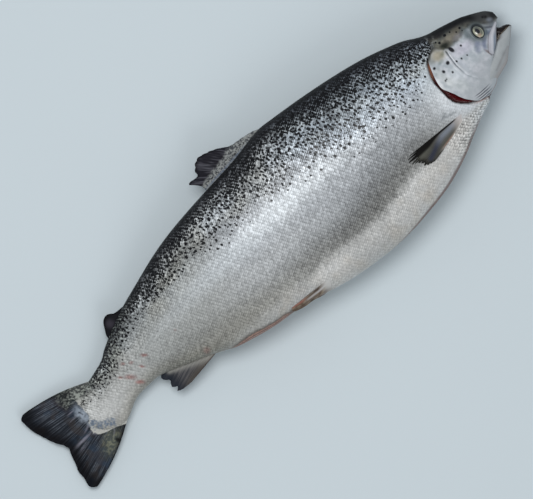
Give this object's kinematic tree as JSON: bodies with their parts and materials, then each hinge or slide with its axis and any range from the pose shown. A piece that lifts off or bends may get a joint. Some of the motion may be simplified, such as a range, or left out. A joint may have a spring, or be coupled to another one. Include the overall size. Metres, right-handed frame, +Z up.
{
  "type": "whole salmon",
  "caption": "Whole raw salmon lying on its side, with silver scaled flanks, a dark spotted back, open mouth, gill covers and fins.",
  "frame": {"origin": "centre of the bounding box's underside, on the surface that the fish lies on", "axes": "+X from tail to head, +Y from belly to back, +Z up through the fish from its hidden left side to its shown right side"},
  "size_m": [0.7602, 0.2421, 0.0948],
  "materials": {
    "skin": "wet silver fish skin with small scales, a dark spotted back and a pale belly",
    "head": "smooth wet silver and olive head skin without scales",
    "fin": "thin wet charcoal fin membrane over fine rays",
    "eye": "clear wet eye with a pale yellow iris and a black pupil",
    "mouth": "dark wet mouth lining and gills"
  },
  "bodies": {
    "root": {"salmon": "skin"}
  },
  "joints": []
}
